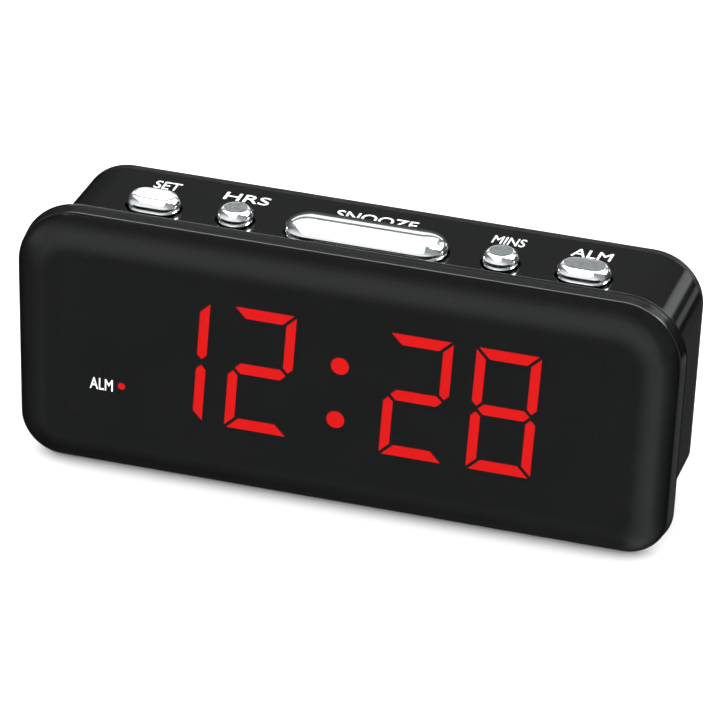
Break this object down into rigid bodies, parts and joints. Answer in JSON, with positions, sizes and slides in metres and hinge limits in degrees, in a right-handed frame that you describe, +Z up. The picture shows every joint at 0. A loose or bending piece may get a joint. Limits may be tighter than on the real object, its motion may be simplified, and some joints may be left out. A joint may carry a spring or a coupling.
{
  "type": "digital alarm clock",
  "caption": "Wide, low digital alarm clock: smoked pillow lens with red bar digits, black case, chrome keys on top, battery door and alarm switch behind.",
  "frame": {"origin": "on the surface it stands on, at the middle of the clock's width and depth", "axes": "+Z up, the display faces -Y, +X to the right as seen from the front"},
  "size_m": [0.1552, 0.041, 0.063],
  "materials": {
    "smoked_lens": "polished",
    "black_gloss": "gloss",
    "black_satin": "satin",
    "chrome_plate": "chrome plated",
    "module_black": "matte",
    "red_light": "lit",
    "red_dark": "gloss",
    "circuit_board": "satin",
    "component_black": "matte",
    "component_tan": "matte",
    "capacitor_sleeve": "gloss",
    "tinned_steel": "satin",
    "lamination": "satin",
    "winding_tape": "satin",
    "wire_red": "satin",
    "ribbon_grey": "satin",
    "rubber_black": "matte",
    "white_ink": "matte"
  },
  "bodies": {
    "clock": {"alarm_dot": "red_light", "alarm_switch_body": "tinned_steel", "battery_contact": "component_black", "battery_wires": "wire_red", "board_screws": "tinned_steel", "buzzer": "component_black", "chip_leads": "tinned_steel", "clock_chip": "component_black", "colon_dots": "red_light", "cord_grommet": "rubber_black", "cover_screws": "tinned_steel", "dark_segments": "red_dark", "diodes": "component_black", "display_board": "circuit_board", "display_housing": "module_black", "display_pins": "tinned_steel", "filter_capacitor": "capacitor_sleeve", "front_frame": "black_gloss", "front_lens": "smoked_lens", "key_board": "circuit_board", "key_board_screws": "tinned_steel", "lit_segments": "red_light", "main_case": "black_gloss", "rear_cover": "black_satin", "resistors": "component_tan", "ribbon_cable": "ribbon_grey", "rubber_feet": "rubber_black", "small_capacitors": "capacitor_sleeve", "switch_bodies": "component_black", "transformer_core": "lamination", "transformer_screws": "tinned_steel", "transformer_strap": "tinned_steel", "transformer_winding": "winding_tape", "transformer_wires": "wire_red"},
    "time_set_key": {"time_set_button": "chrome_plate", "time_set_plunger": "component_black"},
    "hour_key": {"hour_button": "chrome_plate", "hour_plunger": "component_black"},
    "snooze_key": {"snooze_button": "chrome_plate", "snooze_plunger": "component_black"},
    "minute_key": {"minute_button": "chrome_plate", "minute_plunger": "component_black"},
    "alarm_set_key": {"alarm_set_button": "chrome_plate", "alarm_set_plunger": "component_black"},
    "bay_door": {"battery_door": "black_satin"},
    "alarm_lever": {"alarm_switch_lever": "black_satin"}
  },
  "joints": [
    {"name": "time_set_press", "type": "slide", "parent": "clock", "child": "time_set_key", "axis": [0, 0, -1], "range_m": [0, 0.0005], "stiffness_N_per_m": 1500},
    {"name": "hour_press", "type": "slide", "parent": "clock", "child": "hour_key", "axis": [0, 0, -1], "range_m": [0, 0.0005], "stiffness_N_per_m": 1500},
    {"name": "snooze_press", "type": "slide", "parent": "clock", "child": "snooze_key", "axis": [0, 0, -1], "range_m": [0, 0.0005], "stiffness_N_per_m": 2500},
    {"name": "minute_press", "type": "slide", "parent": "clock", "child": "minute_key", "axis": [0, 0, -1], "range_m": [0, 0.0005], "stiffness_N_per_m": 1500},
    {"name": "alarm_set_press", "type": "slide", "parent": "clock", "child": "alarm_set_key", "axis": [0, 0, -1], "range_m": [0, 0.0005], "stiffness_N_per_m": 1500},
    {"name": "bay_door_swing", "type": "hinge", "parent": "clock", "child": "bay_door", "pos_m": [0.032, 0.01955, 0.0079], "axis": [-1, 0, 0], "range_deg": [0, 90]},
    {"name": "alarm_lever_slide", "type": "slide", "parent": "clock", "child": "alarm_lever", "axis": [1, 0, 0], "range_m": [0, 0.003]}
  ]
}
